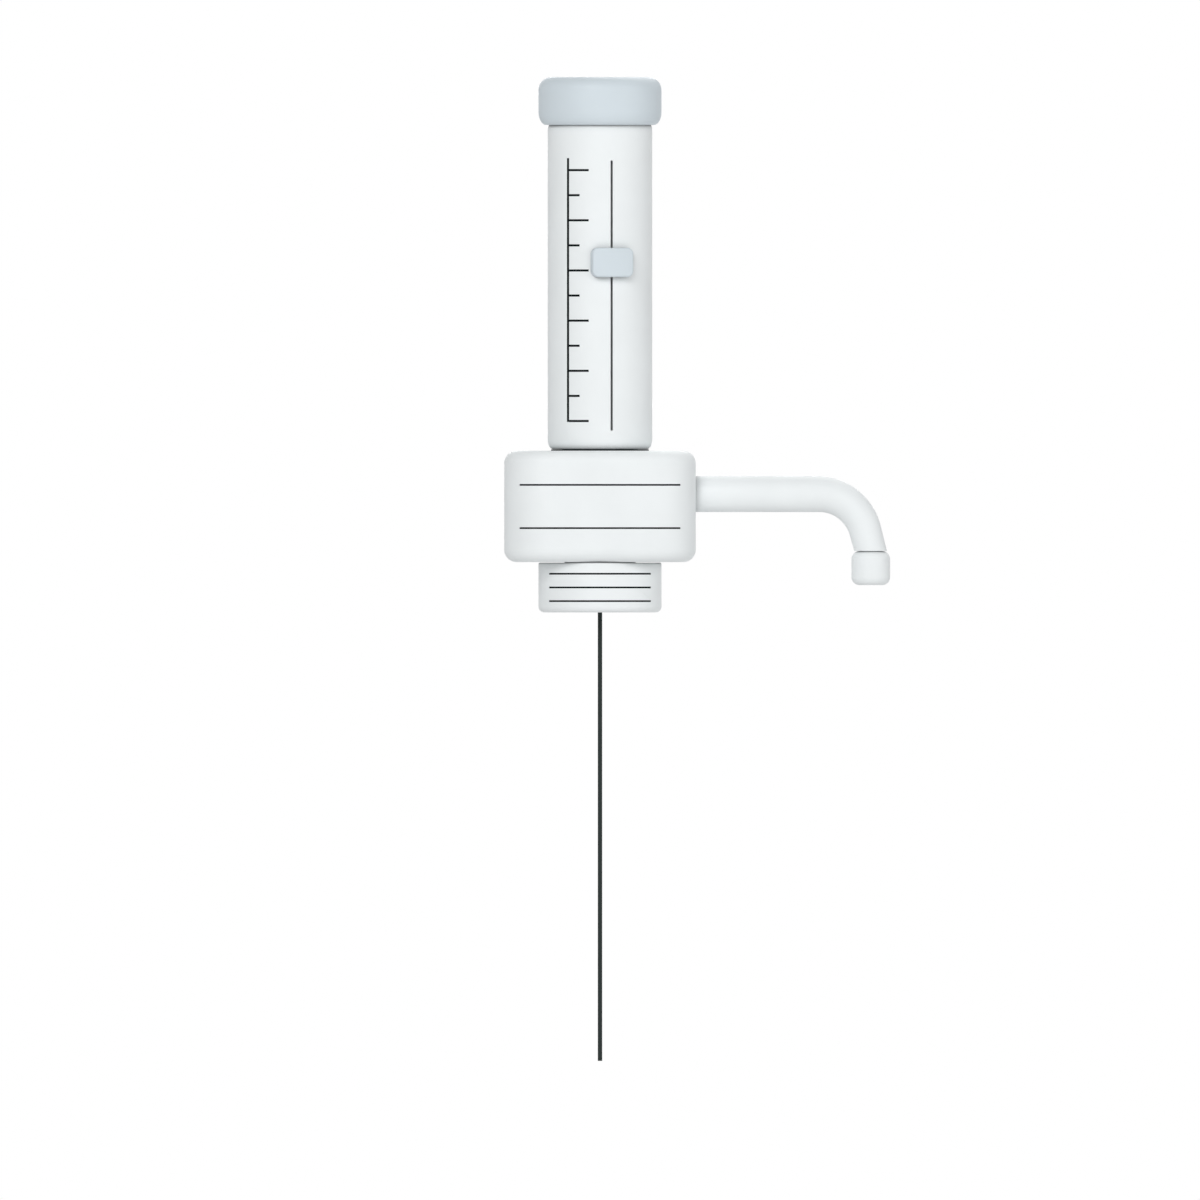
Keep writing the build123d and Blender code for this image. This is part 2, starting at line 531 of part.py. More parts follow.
# ================================================================ housing of the valve block
# the closed housing, before it is parted into its front and rear shells
with BuildPart() as housing:
    with BuildSketch(Plane.XY.offset(block_z)):
        RectangleRounded(BLOCK_W, BLOCK_DEPTH, BLOCK_CORNER_R)
    extrude(amount=BLOCK_H)
    fillet(housing.faces().filter_by(Axis.Z).edges(), BLOCK_EDGE_R)
    with BuildSketch(Plane.XY.offset(core_bottom_z)):
        RectangleRounded(BLOCK_W - 2 * BLOCK_WALL, BLOCK_DEPTH - 2 * BLOCK_WALL, BLOCK_CORNER_R - BLOCK_WALL)
    extrude(amount=BLOCK_H - BLOCK_ROOF - BLOCK_FLOOR, mode=Mode.SUBTRACT)
    # screw bosses from wall to wall, with the head's well in the rear half
    with BuildSketch(Plane.XZ.offset(BLOCK_WALL - BLOCK_DEPTH / 2)):
        with Locations(*SCREWS):
            Circle(boss_r)
    extrude(amount=BLOCK_DEPTH - 2 * BLOCK_WALL)
    with BuildSketch(Plane.XZ.offset(-SCREW_SEAT_Y)):
        with Locations(*SCREWS):
            Circle(well_r)
    extrude(amount=-BLOCK_DEPTH, mode=Mode.SUBTRACT)
    with BuildSketch(Plane.XZ.offset(-SCREW_SEAT_Y)):
        with Locations(*SCREWS):
            Circle(SCREW_D / 2 + FIT_GAP)
    extrude(amount=SCREW_LENGTH + RUN_GAP, mode=Mode.SUBTRACT)
    # holes for the guide tube, the core's spigot, the spout and the vent; seat of the bumper ring
    with Locations((0, 0, block_top_z - BLOCK_ROOF)):
        Cylinder(guide_r + FIT_GAP, BLOCK_ROOF, align=UP, mode=Mode.SUBTRACT)
    with Locations((0, 0, block_top_z - BUMPER_T + BUMPER_PROUD)):
        Cylinder(bumper_r + FIT_GAP, BUMPER_T, align=UP, mode=Mode.SUBTRACT)
    with Locations((0, 0, block_z)):
        Cylinder(SPIGOT_D / 2 + FIT_GAP, BLOCK_FLOOR, align=UP, mode=Mode.SUBTRACT)
    with BuildSketch(Plane.YZ.offset(BLOCK_W / 2 - 2 * BLOCK_WALL)):
        with Locations((0, spout_z)):
            Circle(SPOUT_D / 2 + FIT_GAP)
    extrude(amount=2 * BLOCK_WALL, mode=Mode.SUBTRACT)
    with BuildSketch(Plane.XZ.offset(-BLOCK_DEPTH / 2)):
        with Locations((0, vent_z)):
            Circle(VENT_STEM_D / 2 + FIT_GAP)
    extrude(amount=2 * BLOCK_WALL, mode=Mode.SUBTRACT)
    # face grooves, front and back, ending on the rounded corners
    for rise in (BLOCK_GROOVE_LOW, BLOCK_GROOVE_HIGH):
        with BuildSketch(Plane.XY.offset(block_z + rise - GROOVE_WIDTH / 2)):
            Rectangle(2 * BLOCK_GROOVE_HALF, BLOCK_DEPTH)
            RectangleRounded(
                BLOCK_W - 2 * GROOVE_DEPTH,
                BLOCK_DEPTH - 2 * GROOVE_DEPTH,
                BLOCK_CORNER_R - GROOVE_DEPTH,
                mode=Mode.SUBTRACT,
            )
        extrude(amount=GROOVE_WIDTH, mode=Mode.SUBTRACT)
    # shadow line round the parting plane
    with BuildSketch(Plane.XZ):
        with Locations((0, block_z + BLOCK_H / 2)):
            RectangleRounded(BLOCK_W, BLOCK_H, BLOCK_EDGE_R)
            RectangleRounded(
                BLOCK_W - 2 * PARTING_DEPTH,
                BLOCK_H - 2 * PARTING_DEPTH,
                BLOCK_EDGE_R - PARTING_DEPTH,
                mode=Mode.SUBTRACT,
            )
    extrude(amount=PARTING_W / 2, both=True, mode=Mode.SUBTRACT)

with BuildPart() as housing_front:
    add(housing.part)
    split(bisect_by=Plane.XZ, keep=Keep.TOP)
write(housing_front.part, "housing_front")

with BuildPart() as housing_rear:
    add(housing.part)
    split(bisect_by=Plane.XZ, keep=Keep.BOTTOM)
write(housing_rear.part, "housing_rear")

with BuildPart() as housing_screws:
    with BuildSketch(Plane.XZ.offset(-SCREW_SEAT_Y)):
        with Locations(*SCREWS):
            Circle(SCREW_HEAD_D / 2)
    extrude(amount=-SCREW_HEAD_T)
    with BuildSketch(Plane.XZ.offset(-SCREW_SEAT_Y)):
        with Locations(*SCREWS):
            Circle(SCREW_D / 2)
    extrude(amount=SCREW_LENGTH)
    with BuildSketch(Plane.XZ.offset(-SCREW_SEAT_Y - SCREW_HEAD_T)):
        with Locations(*SCREWS):
            RegularPolygon(SCREW_KEY / 2, 6, major_radius=False)
    extrude(amount=SCREW_KEY_DEPTH, mode=Mode.SUBTRACT)
write(housing_screws.part, "housing_screws")

# ---------------------------------------------------------------- air vent at the back
with BuildPart() as vent_plug:
    with BuildSketch(Plane.XZ.offset(-BLOCK_DEPTH / 2 - VENT_FLANGE_T)):
        with Locations((0, vent_z)):
            Circle(VENT_FLANGE_D / 2)
    extrude(amount=VENT_FLANGE_T)
    stem_end_y = CORE_D / 2 - VENT_SOCKET + FIT_GAP
    with BuildSketch(Plane.XZ.offset(-BLOCK_DEPTH / 2)):
        with Locations((0, vent_z)):
            Circle(VENT_STEM_D / 2)
    extrude(amount=BLOCK_DEPTH / 2 - stem_end_y)
    filter_y = BLOCK_DEPTH / 2 - VENT_FILTER_T
    with BuildSketch(Plane.XZ.offset(-BLOCK_DEPTH / 2)):
        with Locations((0, vent_z)):
            Circle(VENT_FILTER_D / 2 + FIT_GAP)
    extrude(amount=VENT_FILTER_T, mode=Mode.SUBTRACT)
    with BuildSketch(Plane.XZ.offset(-filter_y)):
        with Locations((0, vent_z)):
            Circle(VENT_BORE_D / 2)
    extrude(amount=filter_y - stem_end_y, mode=Mode.SUBTRACT)
    with BuildSketch(Plane.XZ.offset(-BLOCK_DEPTH / 2 - VENT_FLANGE_T)):
        with Locations((0, vent_z)):
            with PolarLocations(VENT_RING_D / 2, 3):
                Circle(VENT_HOLE_D / 2)
    extrude(amount=VENT_FLANGE_T, mode=Mode.SUBTRACT)
write(vent_plug.part, "vent_plug")

with BuildPart() as vent_filter:
    with BuildSketch(Plane.XZ.offset(-BLOCK_DEPTH / 2)):
        with Locations((0, vent_z)):
            Circle(VENT_FILTER_D / 2)
    extrude(amount=VENT_FILTER_T)
write(vent_filter.part, "vent_filter")

# ================================================================ measuring cylinder and guide tube
with BuildPart() as cylinder_seal:
    with Locations((0, 0, core_top_z)):
        Cylinder(guide_bore_r - FIT_GAP, CYLINDER_SEAL_T + CYLINDER_SEAL_LIP, align=UP)
        Cylinder(bore_r, CYLINDER_SEAL_T, align=UP, mode=Mode.SUBTRACT)
    with Locations((0, 0, glass_z)):
        Cylinder(glass_r + FIT_GAP, CYLINDER_SEAL_LIP, align=UP, mode=Mode.SUBTRACT)
write(cylinder_seal.part, "cylinder_seal")

with BuildPart() as glass_cylinder:
    glass_length = FULL_STROKE + GLASS_OVER
    with Locations((0, 0, glass_z)):
        Cylinder(glass_r, glass_length, align=UP)
        Cylinder(bore_r, glass_length, align=UP, mode=Mode.SUBTRACT)
    fillet(glass_cylinder.faces().sort_by(Axis.Z)[-1].edges(), GLASS_LIP_R)
write(glass_cylinder.part, "glass_cylinder")

with BuildPart() as guide_tube:
    with Locations((0, 0, core_top_z)):
        Cylinder(guide_r, guide_top_z - core_top_z, align=UP)
        Cylinder(guide_bore_r, guide_top_z - core_top_z, align=UP, mode=Mode.SUBTRACT)
write(guide_tube.part, "guide_tube")

with BuildPart() as clamp_ring:
    with Locations((0, 0, core_top_z)):
        Cylinder(clamp_r, CLAMP_T, align=UP)
        Cylinder(guide_r + FIT_GAP, CLAMP_T, align=UP, mode=Mode.SUBTRACT)
write(clamp_ring.part, "clamp_ring")

with BuildPart() as stop_ring:
    ring_r = sleeve_bore_r - RUN_GAP
    with Locations((0, 0, stop_ring_z)):
        Cylinder(ring_r, STOP_RING_H + STOP_RING_CAP, align=UP)
        Cylinder(guide_r + FIT_GAP, STOP_RING_H, align=UP, mode=Mode.SUBTRACT)
        Cylinder(guide_bore_r, STOP_RING_H + STOP_RING_CAP, align=UP, mode=Mode.SUBTRACT)
    chamfer(stop_ring.faces().sort_by(Axis.Z)[-1].outer_wire().edges(), STOP_RING_CHAMFER)
write(stop_ring.part, "stop_ring")

with BuildPart() as bumper_ring:
    with Locations((0, 0, block_top_z - BUMPER_T + BUMPER_PROUD)):
        Cylinder(bumper_r, BUMPER_T, align=UP)
        Cylinder(guide_r + FIT_GAP, BUMPER_T, align=UP, mode=Mode.SUBTRACT)
    fillet(bumper_ring.faces().sort_by(Axis.Z)[-1].outer_wire().edges(), BUMPER_EDGE_R)
write(bumper_ring.part, "bumper_ring")

# ================================================================ plunger: sleeve, piston and cap
with BuildPart() as sleeve:
    foot_in = SLEEVE_WALL - SLEEVE_FOOT_LAND
    with BuildSketch(Plane.XZ):
        with BuildLine():
            Polyline(
                (sleeve_r, sleeve_z + SLEEVE_FOOT_H),
                (sleeve_r, sleeve_top_z - SLEEVE_TOP_R),
            )
            CenterArc((sleeve_r - SLEEVE_TOP_R, sleeve_top_z - SLEEVE_TOP_R), SLEEVE_TOP_R, 0, QUARTER_TURN)
            Polyline(
                (sleeve_r - SLEEVE_TOP_R, sleeve_top_z),
                (0, sleeve_top_z),
                (0, sleeve_top_z - SLEEVE_WEB),
                (sleeve_bore_r, sleeve_top_z - SLEEVE_WEB),
                (sleeve_bore_r, sleeve_z),
                (sleeve_r - foot_in, sleeve_z),
            )
            EllipticalCenterArc(
                (sleeve_r - foot_in, sleeve_z + SLEEVE_FOOT_H),
                foot_in,
                SLEEVE_FOOT_H,
                start_angle=-QUARTER_TURN,
                arc_size=QUARTER_TURN,
            )
        make_face()
    revolve(axis=Axis.Z)
    # crown that the cap clips onto, and the piston screw's hole
    with Locations((0, 0, sleeve_top_z)):
        crown_r = CAP_CLIP_D / 2 - FIT_GAP
        Cylinder(crown_r, CROWN_H, align=UP)
        Cylinder(crown_r - CROWN_WALL, CROWN_H, align=UP, mode=Mode.SUBTRACT)
    with Locations((0, 0, sleeve_top_z - SLEEVE_WEB)):
        Cylinder(PISTON_SCREW_D / 2 + FIT_GAP, SLEEVE_WEB, align=UP, mode=Mode.SUBTRACT)
    # slot in which the pointer travels
    slot_low_z = full_z - STOP_H / 2 - RUN_GAP
    slot_high_z = zero_z + STOP_H / 2 + RUN_GAP
    with BuildSketch(Plane.XY.offset(slot_low_z).rotated((0, 0, POINTER_AZIMUTH))):
        Rectangle(SLOT_W, sleeve_r + OVERCUT, align=(Align.CENTER, Align.MAX))
    extrude(amount=slot_high_z - slot_low_z, mode=Mode.SUBTRACT)
write(sleeve.part, "sleeve")

with BuildPart() as foot_ring:
    with Locations((0, 0, sleeve_z)):
        Cylinder(sleeve_bore_r - FIT_GAP, FOOT_RING_H, align=UP)
        Cylinder(guide_r + RUN_GAP, FOOT_RING_H, align=UP, mode=Mode.SUBTRACT)
    chamfer(foot_ring.faces().sort_by(Axis.Z)[-1].inner_wires()[0].edges(), FOOT_RING_LEAD_IN)
write(foot_ring.part, "foot_ring")

with BuildPart() as piston_rod:
    rod_z = core_top_z + PISTON_FLOOR_GAP + PISTON_H
    rod_length = sleeve_top_z - SLEEVE_WEB - rod_z
    with Locations((0, 0, rod_z)):
        Cylinder(rod_r, rod_length, align=UP)
        Cylinder(rod_r - ROD_WALL, rod_length - ROD_PLUG, align=UP, mode=Mode.SUBTRACT)
    with Locations((0, 0, rod_z + rod_length - ROD_PLUG)):
        Cylinder(PISTON_SCREW_D / 2 + FIT_GAP, ROD_PLUG, align=UP, mode=Mode.SUBTRACT)
write(piston_rod.part, "piston_rod")

with BuildPart() as piston:
    piston_z = core_top_z + PISTON_FLOOR_GAP
    with Locations((0, 0, piston_z)):
        Cylinder(piston_r, PISTON_H, align=UP)
    chamfer(piston.faces().sort_by(Axis.Z)[0].edges(), PISTON_CHAMFER)
    with Locations((0, 0, piston_z + PISTON_H)):
        Cylinder(rod_r - ROD_WALL - FIT_GAP, PISTON_STEM, align=UP)
    seal_z = piston_z + SEAL_LAND
    with BuildSketch(Plane.XY.offset(seal_z)):
        Circle(piston_r)
        Circle(piston_r - SEAL_GROOVE_DEPTH, mode=Mode.SUBTRACT)
    extrude(amount=SEAL_H, mode=Mode.SUBTRACT)
write(piston.part, "piston")

with BuildPart() as piston_seal:
    seal_r = bore_r - SEAL_GAP
    seal_root_r = piston_r - SEAL_GROOVE_DEPTH + FIT_GAP
    body_r = piston_r - SEAL_WAIST
    low, high = seal_z + FIT_GAP, seal_z + SEAL_H - FIT_GAP
    with BuildSketch(Plane.XZ):
        with BuildLine():
            Polyline(
                (seal_root_r, low),
                (seal_r, low),
                (seal_r, low + SEAL_LIP / 2),
                (body_r, low + SEAL_LIP),
                (body_r, high - SEAL_LIP),
                (seal_r, high - SEAL_LIP / 2),
                (seal_r, high),
                (seal_root_r, high),
                close=True,
            )
        make_face()
    revolve(axis=Axis.Z)
write(piston_seal.part, "piston_seal")

with BuildPart() as piston_washer:
    with Locations((0, 0, sleeve_top_z)):
        Cylinder(PISTON_WASHER_D / 2, PISTON_WASHER_T, align=UP)
        Cylinder(PISTON_SCREW_D / 2 + FIT_GAP, PISTON_WASHER_T, align=UP, mode=Mode.SUBTRACT)
write(piston_washer.part, "piston_washer")

with BuildPart() as piston_screw:
    head_z = sleeve_top_z + PISTON_WASHER_T
    thread_length = PISTON_WASHER_T + SLEEVE_WEB + ROD_PLUG - PISTON_SCREW_END_GAP
    with Locations((0, 0, head_z)):
        Cylinder(PISTON_SCREW_HEAD_D / 2, PISTON_SCREW_HEAD_T, align=UP)
    with Locations((0, 0, head_z - thread_length)):
        Cylinder(PISTON_SCREW_D / 2, thread_length, align=UP)
    with BuildSketch(Plane.XY.offset(head_z + PISTON_SCREW_HEAD_T)):
        RegularPolygon(PISTON_SCREW_KEY / 2, 6, major_radius=False)
    extrude(amount=-PISTON_SCREW_KEY_DEPTH, mode=Mode.SUBTRACT)
write(piston_screw.part, "piston_screw")

with BuildPart() as cap:
    cap_r = sleeve_r + CAP_RIM
    mouth_r = sleeve_r + CAP_MOUTH_GAP
    foot_in = cap_r - mouth_r - CAP_FOOT_LAND
    cap_top_z = cap_z + CAP_H
    with BuildSketch(Plane.XZ):
        with BuildLine():
            Line((cap_r, cap_z + CAP_FOOT_H), (cap_r, cap_top_z - CAP_TOP_R))
            CenterArc((cap_r - CAP_TOP_R, cap_top_z - CAP_TOP_R), CAP_TOP_R, 0, QUARTER_TURN)
            Polyline(
                (cap_r - CAP_TOP_R, cap_top_z),
                (0, cap_top_z),
                (0, cap_top_z - CAP_ROOF),
                (mouth_r, cap_top_z - CAP_ROOF),
                (mouth_r, cap_z),
                (cap_r - foot_in, cap_z),
            )
            EllipticalCenterArc(
                (cap_r - foot_in, cap_z + CAP_FOOT_H),
                foot_in,
                CAP_FOOT_H,
                start_angle=-QUARTER_TURN,
                arc_size=QUARTER_TURN,
            )
        make_face()
    revolve(axis=Axis.Z)
    # clip skirt that grips the sleeve's crown
    with Locations((0, 0, sleeve_top_z + FIT_GAP)):
        skirt_h = cap_top_z - CAP_ROOF - sleeve_top_z - FIT_GAP
        Cylinder(CAP_CLIP_D / 2 + CAP_CLIP_WALL, skirt_h, align=UP)
        Cylinder(CAP_CLIP_D / 2, skirt_h, align=UP, mode=Mode.SUBTRACT)
write(cap.part, "cap")

# ================================================================ volume pointer
pointer_plane = Plane.XY.offset(pointer_z).rotated((0, 0, POINTER_AZIMUTH))
pointer_back_r = sleeve_r + RUN_GAP
pointer_face_r = pointer_back_r + POINTER_T
blade_tip_r = pointer_back_r + BLADE_ENTRY
blade_w = SLOT_W - 2 * BLADE_GAP
pin_r = pointer_back_r + BLADE_ENTRY / 2
across = radial_plane(POINTER_AZIMUTH, pointer_z)  # upright, through the pointer's middle

with BuildPart() as pointer:
    with BuildSketch(pointer_plane.offset(-POINTER_H / 2)):
        Circle(pointer_face_r)
        Circle(pointer_back_r, mode=Mode.SUBTRACT)
        Rectangle(POINTER_W, pointer_face_r, align=(Align.CENTER, Align.MAX), mode=Mode.INTERSECT)
    extrude(amount=POINTER_H)
    radial = Axis((0, 0, 0), across.x_dir)
    fillet(pointer.edges().filter_by(radial), POINTER_CORNER_R)
    fillet(pointer.faces().sort_by(radial)[-1].edges(), POINTER_EDGE_R)
    # slit for the stop's blade, cross hole for its pin, pocket for the leaf spring
    with BuildSketch(pointer_plane.offset(-STOP_H / 2 - FIT_GAP)):
        with Locations((0, -blade_tip_r - FIT_GAP)):
            Rectangle(blade_w + 2 * FIT_GAP, BLADE_ENTRY + OVERCUT, align=(Align.CENTER, Align.MIN))
    extrude(amount=STOP_H + 2 * FIT_GAP, mode=Mode.SUBTRACT)
    with BuildSketch(across.offset(-POINTER_PIN_L / 2)):
        with Locations((pin_r, 0)):
            Circle(POINTER_PIN_D / 2 + FIT_GAP)
    extrude(amount=POINTER_PIN_L, mode=Mode.SUBTRACT)
    leaf_floor_r = pointer_back_r + LEAF_BOW + LEAF_T
    with BuildSketch(pointer_plane.offset(-LEAF_H / 2 - RUN_GAP)):
        with Locations((-LEAF_OFFSET, -leaf_floor_r)):
            Rectangle(LEAF_W + 2 * FIT_GAP, leaf_floor_r - sleeve_bore_r, align=(Align.CENTER, Align.MIN))
    extrude(amount=LEAF_H + 2 * RUN_GAP, mode=Mode.SUBTRACT)
write(pointer.part, "pointer")

with BuildPart() as pointer_stop:
    with BuildSketch(pointer_plane.offset(-STOP_H / 2)):
        Circle(sleeve_bore_r - RUN_GAP)
        Circle(stop_r, mode=Mode.SUBTRACT)
        Rectangle(STOP_W, sleeve_r, align=(Align.CENTER, Align.MAX), mode=Mode.INTERSECT)
        with Locations((0, -blade_tip_r)):
            Rectangle(blade_w, blade_tip_r - stop_r - FIT_GAP, align=(Align.CENTER, Align.MIN))
    extrude(amount=STOP_H)
    with BuildSketch(across.offset(-blade_w)):
        with Locations((pin_r, 0)):
            Circle(POINTER_PIN_D / 2 + FIT_GAP)
    extrude(amount=2 * blade_w, mode=Mode.SUBTRACT)
write(pointer_stop.part, "pointer_stop")

with BuildPart() as pointer_pin:
    with BuildSketch(across.offset(FIT_GAP - POINTER_PIN_L / 2)):
        with Locations((pin_r, 0)):
            Circle(POINTER_PIN_D / 2)
    extrude(amount=POINTER_PIN_L - 2 * FIT_GAP)
write(pointer_pin.part, "pointer_pin")

with BuildPart() as pointer_leaf:
    with BuildSketch(across.offset(LEAF_OFFSET - LEAF_W / 2)):
        with BuildLine():
            outer_r = leaf_floor_r - FIT_GAP
            inner_r = outer_r - LEAF_T
            ThreePointArc((outer_r, -LEAF_H / 2), (outer_r - LEAF_BOW, 0), (outer_r, LEAF_H / 2))
            Line((outer_r, LEAF_H / 2), (inner_r, LEAF_H / 2))
            ThreePointArc((inner_r, LEAF_H / 2), (inner_r - LEAF_BOW, 0), (inner_r, -LEAF_H / 2))
            Line((inner_r, -LEAF_H / 2), (outer_r, -LEAF_H / 2))
        make_face()
    extrude(amount=LEAF_W)
write(pointer_leaf.part, "pointer_leaf")

print("block top", round(block_top_z, 2), "volume ml", round(math.pi * bore_r**2 * FULL_STROKE / 1000, 2))
print("pointer", round(pointer_z, 2), "zero", round(zero_z, 2), "sleeve top", round(sleeve_top_z, 2))
print("nozzle x", round(nozzle_x, 2), "z", round(nozzle_z, 2), "spout z", round(spout_z, 2))
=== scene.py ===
"""Looks of the bottle top dispenser: plastics, glass and steel for the CAD pieces, the printed scale, the
dark lines in the grooves of the valve block and the collar, the bottle thread inside the collar, and a
copy of the discharge spring. All in metres."""

import json
import math

import bmesh
import bpy
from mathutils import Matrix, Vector


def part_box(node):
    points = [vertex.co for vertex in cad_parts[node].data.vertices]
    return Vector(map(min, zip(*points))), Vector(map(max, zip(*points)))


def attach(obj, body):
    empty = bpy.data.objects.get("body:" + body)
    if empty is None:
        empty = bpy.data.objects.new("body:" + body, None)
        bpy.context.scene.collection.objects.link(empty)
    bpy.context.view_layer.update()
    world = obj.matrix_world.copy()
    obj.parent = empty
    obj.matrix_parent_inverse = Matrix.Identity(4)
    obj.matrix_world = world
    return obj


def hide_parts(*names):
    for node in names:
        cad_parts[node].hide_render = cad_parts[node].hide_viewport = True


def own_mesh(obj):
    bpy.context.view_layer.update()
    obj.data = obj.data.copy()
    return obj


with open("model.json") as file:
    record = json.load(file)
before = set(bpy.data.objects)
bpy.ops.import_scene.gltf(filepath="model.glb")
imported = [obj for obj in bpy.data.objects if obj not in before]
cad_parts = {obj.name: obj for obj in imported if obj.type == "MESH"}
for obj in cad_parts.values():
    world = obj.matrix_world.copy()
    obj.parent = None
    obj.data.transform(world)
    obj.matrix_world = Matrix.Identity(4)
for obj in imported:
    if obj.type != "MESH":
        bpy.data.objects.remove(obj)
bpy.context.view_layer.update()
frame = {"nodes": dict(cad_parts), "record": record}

MM = 0.001

# ---------------------------------------------------------------- the photograph's frame
PHOTO_WIDTH = 1200
PHOTO_CENTRE = 600
PIXEL = 0.45 * MM  # real size of one pixel of the flat, level view
ORIGIN_PIXEL_X = 600  # where the photograph shows the object's origin
ORIGIN_PIXEL_Y = 574
FLOOR_PIXEL_Y = 1105  # foot of the bottle that the dispenser would stand on
CAMERA_DISTANCE = 2.0

# ---------------------------------------------------------------- meshes in general
SHARP_ANGLE = math.radians(35)  # edges that turn more than this look sharp
ARC_STEP = math.radians(1.5)

# ---------------------------------------------------------------- scale, on the sleeve
SCALE_FOOT = 13.35 * MM  # mark for the full volume above the valve block
SCALE_STROKE = 112.9 * MM
SCALE_STEPS = 10
SPINE_X = -14.4 * MM  # middle of the scale's upright line, seen from the front
SPINE_OVER = 5.4 * MM  # the line's run above the zero mark
SPINE_UNDER = 0.4 * MM  # and below the mark for the full volume
SHORT_MARK_END_X = -9.2 * MM
LONG_MARK_END_X = -5.1 * MM
PRINT_WIDTH = 0.95 * MM
PRINT_HEIGHT = 0.05 * MM  # how far the print stands off the sleeve
PRINT_DEPTH = 0.1 * MM  # how far it reaches into the sleeve

# ---------------------------------------------------------------- groove lines
GROOVE_LINE = 0.78 * MM
GROOVE_LINE_TOP = 0.05 * MM  # how far the dark line lies below the surface
GROOVE_LINE_T = 0.5 * MM  # its thickness; with the depth above it, a little less than the groove is deep
BLOCK_CORNER_R = 20.0 * MM
BLOCK_CORNER_STEPS = 12
BLOCK_LINE_HALF = 36.1 * MM  # from the middle to each end, seen from the front
BLOCK_LINE_LOW = 15.3 * MM  # heights above the block's underside
BLOCK_LINE_HIGH = 34.75 * MM
COLLAR_LINE_TOP = 0.1 * MM  # height of the upper line; the others follow below
COLLAR_LINE_PITCH = 6.15 * MM
COLLAR_LINES = 3
COLLAR_LINE_HALF = 22.8 * MM

# ---------------------------------------------------------------- bottle thread inside the collar
THREAD_PITCH = 4.0 * MM
THREAD_TURNS = 2.4
THREAD_START = -3.6 * MM  # height of its upper end
THREAD_DEPTH = 1.15 * MM
THREAD_ROOT = 2.4 * MM  # height of the ridge at the collar's wall
THREAD_CREST = 1.0 * MM
THREAD_STEPS = 64  # to a turn
THREAD_END_SHARE = 6  # the ridge rises over a sixth of its length at each end
THREAD_END_DEPTH = 0.02  # share of its depth that is left at the very end
THREAD_SINK = 0.1 * MM  # how far it reaches into the collar's wall
COLLAR_BORE_R = 22.8 * MM

# ---------------------------------------------------------------- materials
NOISE_LOW = 0.3  # nearly all of Blender's noise lies between these
NOISE_HIGH = 0.7
PAINTED_SHADE_DEEP = 0.35  # share of open sky at which the painted shade in a crevice is darkest
PAINTED_SHADE_OPEN = 0.95  # and from which no shade is painted at all
# factor by which the painted shade darkens the colour in the deepest crevices
PAINTED_SHADE_DARKNESS = 0.25
PAINTED_SHADE_SAMPLES = 8

# ---------------------------------------------------------------- floor and light
FLOOR_REACH = 4.0  # from the middle to each edge
FLOOR_COLOUR = (236, 236, 236)
FLOOR_ROUGHNESS = 0.9
FLOOR_WHITE = 0.3  # share of plain white in the floor as seen; the rest shows light and shadow
ROOM_LIGHT = 0.4
LAMP_AIM = (0, 0, 0.02)
LAMPS = (  # name, place, side and power
    ("key", (-0.55, -2.0, 1.0), 1.0, 22.0),
    ("fill", (1.7, -1.3, 0.4), 1.2, 8.0),
    ("rim", (0.4, 1.4, 1.5), 0.9, 11.0),
    ("back", (0, 2.4, 0.5), 1.0, 13.0),
)


def add_object(name, data):
    """A new object in the scene."""
    thing = bpy.data.objects.new(name, data)
    bpy.context.scene.collection.objects.link(thing)
    return thing


# ================================================================ camera
def make_camera():
    """Level and square to the front, with no perspective, as the flat view has it."""
    data = bpy.data.cameras.new("camera")
    data.type = "ORTHO"
    data.ortho_scale = PHOTO_WIDTH * PIXEL
    camera = add_object("camera", data)
    camera.location = (
        (PHOTO_CENTRE - ORIGIN_PIXEL_X) * PIXEL,
        -CAMERA_DISTANCE,
        (ORIGIN_PIXEL_Y - PHOTO_CENTRE) * PIXEL,
    )
    camera.rotation_euler = (math.radians(90), 0, 0)
    bpy.context.scene.camera = camera


# ================================================================ materials
def linear(red, green, blue):
    """A colour given as three 0 to 255 values, as Blender's linear colour, by the sRGB curve."""
    parts = []
    for value in (red, green, blue):
        part = value / 255
        parts.append(part / 12.92 if part <= 0.04045 else ((part + 0.055) / 1.055) ** 2.4)
    return (*parts, 1.0)


def shade(color, factor):
    """The same colour, made darker by a factor under 1."""
    return (*[part * factor for part in color[:3]], 1.0)


def seen_by_eye(tree):
    """An output that is 1 for what the camera sees, also through gloss and glass, and 0 for light."""
    path = tree.nodes.new("ShaderNodeLightPath")
    seen = path.outputs["Is Camera Ray"]
    for kind in ("Is Glossy Ray", "Is Transmission Ray"):
        either = tree.nodes.new("ShaderNodeMath")
        either.operation = "MAXIMUM"
        tree.links.new(seen, either.inputs[0])
        tree.links.new(path.outputs[kind], either.inputs[1])
        seen = either.outputs[0]
    return seen


